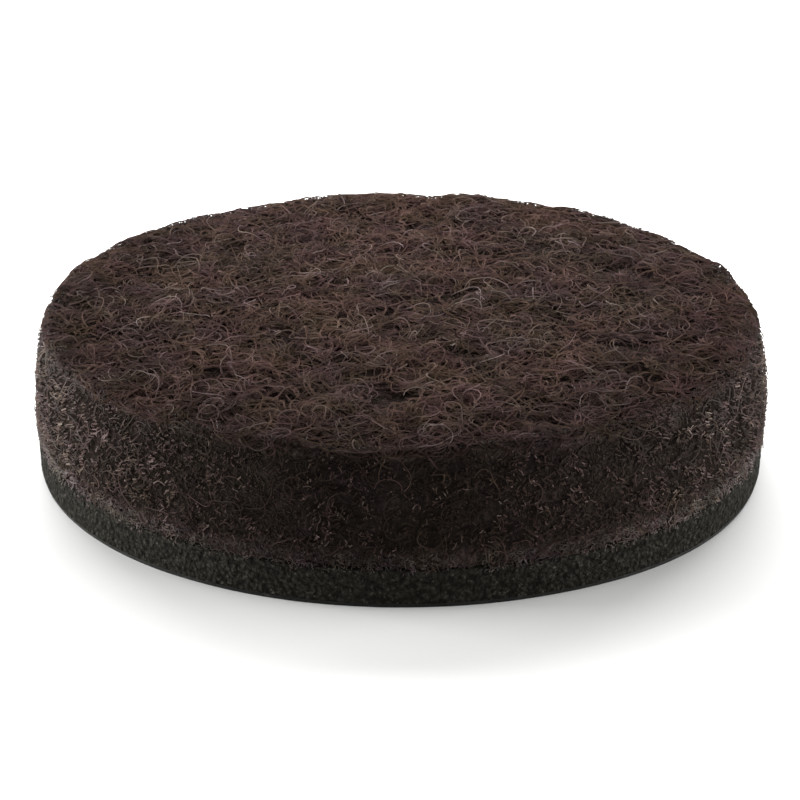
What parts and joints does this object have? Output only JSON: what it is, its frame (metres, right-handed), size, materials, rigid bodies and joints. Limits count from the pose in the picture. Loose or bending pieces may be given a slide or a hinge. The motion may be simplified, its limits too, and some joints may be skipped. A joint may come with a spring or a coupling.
{
  "type": "felt furniture pad",
  "caption": "Round self-adhesive felt pad with a soft foam backing, stuck under a furniture leg to protect the floor.",
  "frame": {"origin": "centre of the adhesive face, which is the underside as the pad lies", "axes": "+Z along the pad's axis, from the adhesive face to the felt face"},
  "size_m": [0.025, 0.025, 0.0053],
  "materials": {
    "felt": "matte",
    "foam": "matte",
    "adhesive": "satin"
  },
  "bodies": {
    "root": {"felt_disc": "felt", "foam_backing": "foam", "adhesive_film": "adhesive"}
  },
  "joints": []
}
